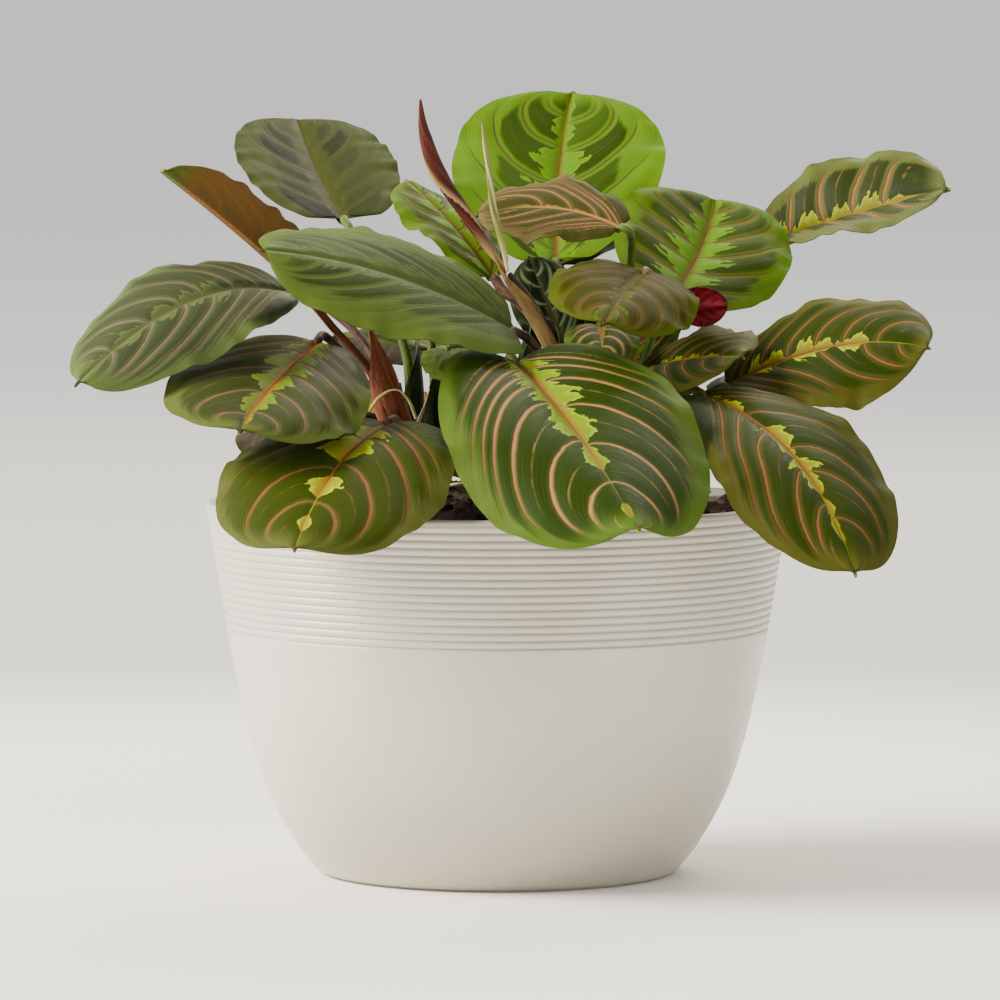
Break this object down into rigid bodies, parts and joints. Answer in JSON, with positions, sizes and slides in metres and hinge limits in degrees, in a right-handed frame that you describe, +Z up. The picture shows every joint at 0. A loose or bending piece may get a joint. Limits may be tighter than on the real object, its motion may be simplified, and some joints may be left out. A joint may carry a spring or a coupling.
{
  "type": "potted houseplant",
  "caption": "Leafy prayer plant with striped oval leaves on thin stalks, growing from soil in a round ceramic pot with a ribbed rim.",
  "frame": {"origin": "centre of the pot's foot, on the face it stands on", "axes": "+Z up along the pot's axis, -Y towards the plant's front, +X to its right seen from the front"},
  "size_m": [0.2291, 0.2104, 0.2028],
  "materials": {
    "pot_ceramic": "satin",
    "soil": "rough",
    "stem_brown": "satin",
    "stem_green": "satin",
    "leaf_green": "satin",
    "leaf_olive": "satin",
    "leaf_bright": "satin",
    "leaf_pale": "satin",
    "leaf_red_underside": "satin",
    "rolled_leaf": "satin"
  },
  "bodies": {
    "root": {"pot": "pot_ceramic", "soil": "soil", "shoot_left": "stem_brown", "shoot_main": "stem_brown", "shoot_front": "stem_green", "shoot_right": "stem_green", "shoot_bright": "stem_green", "shoot_back": "stem_green", "shoot_back_right": "stem_green", "shoot_back_left": "stem_green", "leaf_rim_left": "leaf_green", "leaf_front": "leaf_green", "leaf_rim_right": "leaf_green", "leaf_right": "leaf_green", "leaf_high_right": "leaf_green", "leaf_striped": "leaf_green", "leaf_inner_right": "leaf_green", "leaf_inner_middle": "leaf_green", "leaf_back_top": "leaf_green", "leaf_side_left": "leaf_green", "leaf_inner_back": "leaf_green", "leaf_back_middle": "leaf_green", "leaf_back_low_right": "leaf_green", "leaf_back_high_right": "leaf_green", "leaf_back_low_left": "leaf_green", "leaf_back_high_left": "leaf_green", "leaf_back_left": "leaf_green", "leaf_far_left": "leaf_olive", "leaf_low_left": "leaf_olive", "leaf_high_left": "leaf_olive", "leaf_folded_left": "leaf_olive", "leaf_folded_top": "leaf_olive", "leaf_middle": "leaf_olive", "leaf_back_right": "leaf_olive", "leaf_back_side_left": "leaf_olive", "leaf_bright_right": "leaf_bright", "leaf_bright_top": "leaf_bright", "leaf_bright_left": "leaf_bright", "leaf_pale_left": "leaf_pale", "leaf_inner_left": "leaf_pale", "leaf_small_red": "leaf_red_underside", "rolled_leaf_red": "rolled_leaf", "rolled_leaf_pale": "rolled_leaf"}
  },
  "joints": []
}
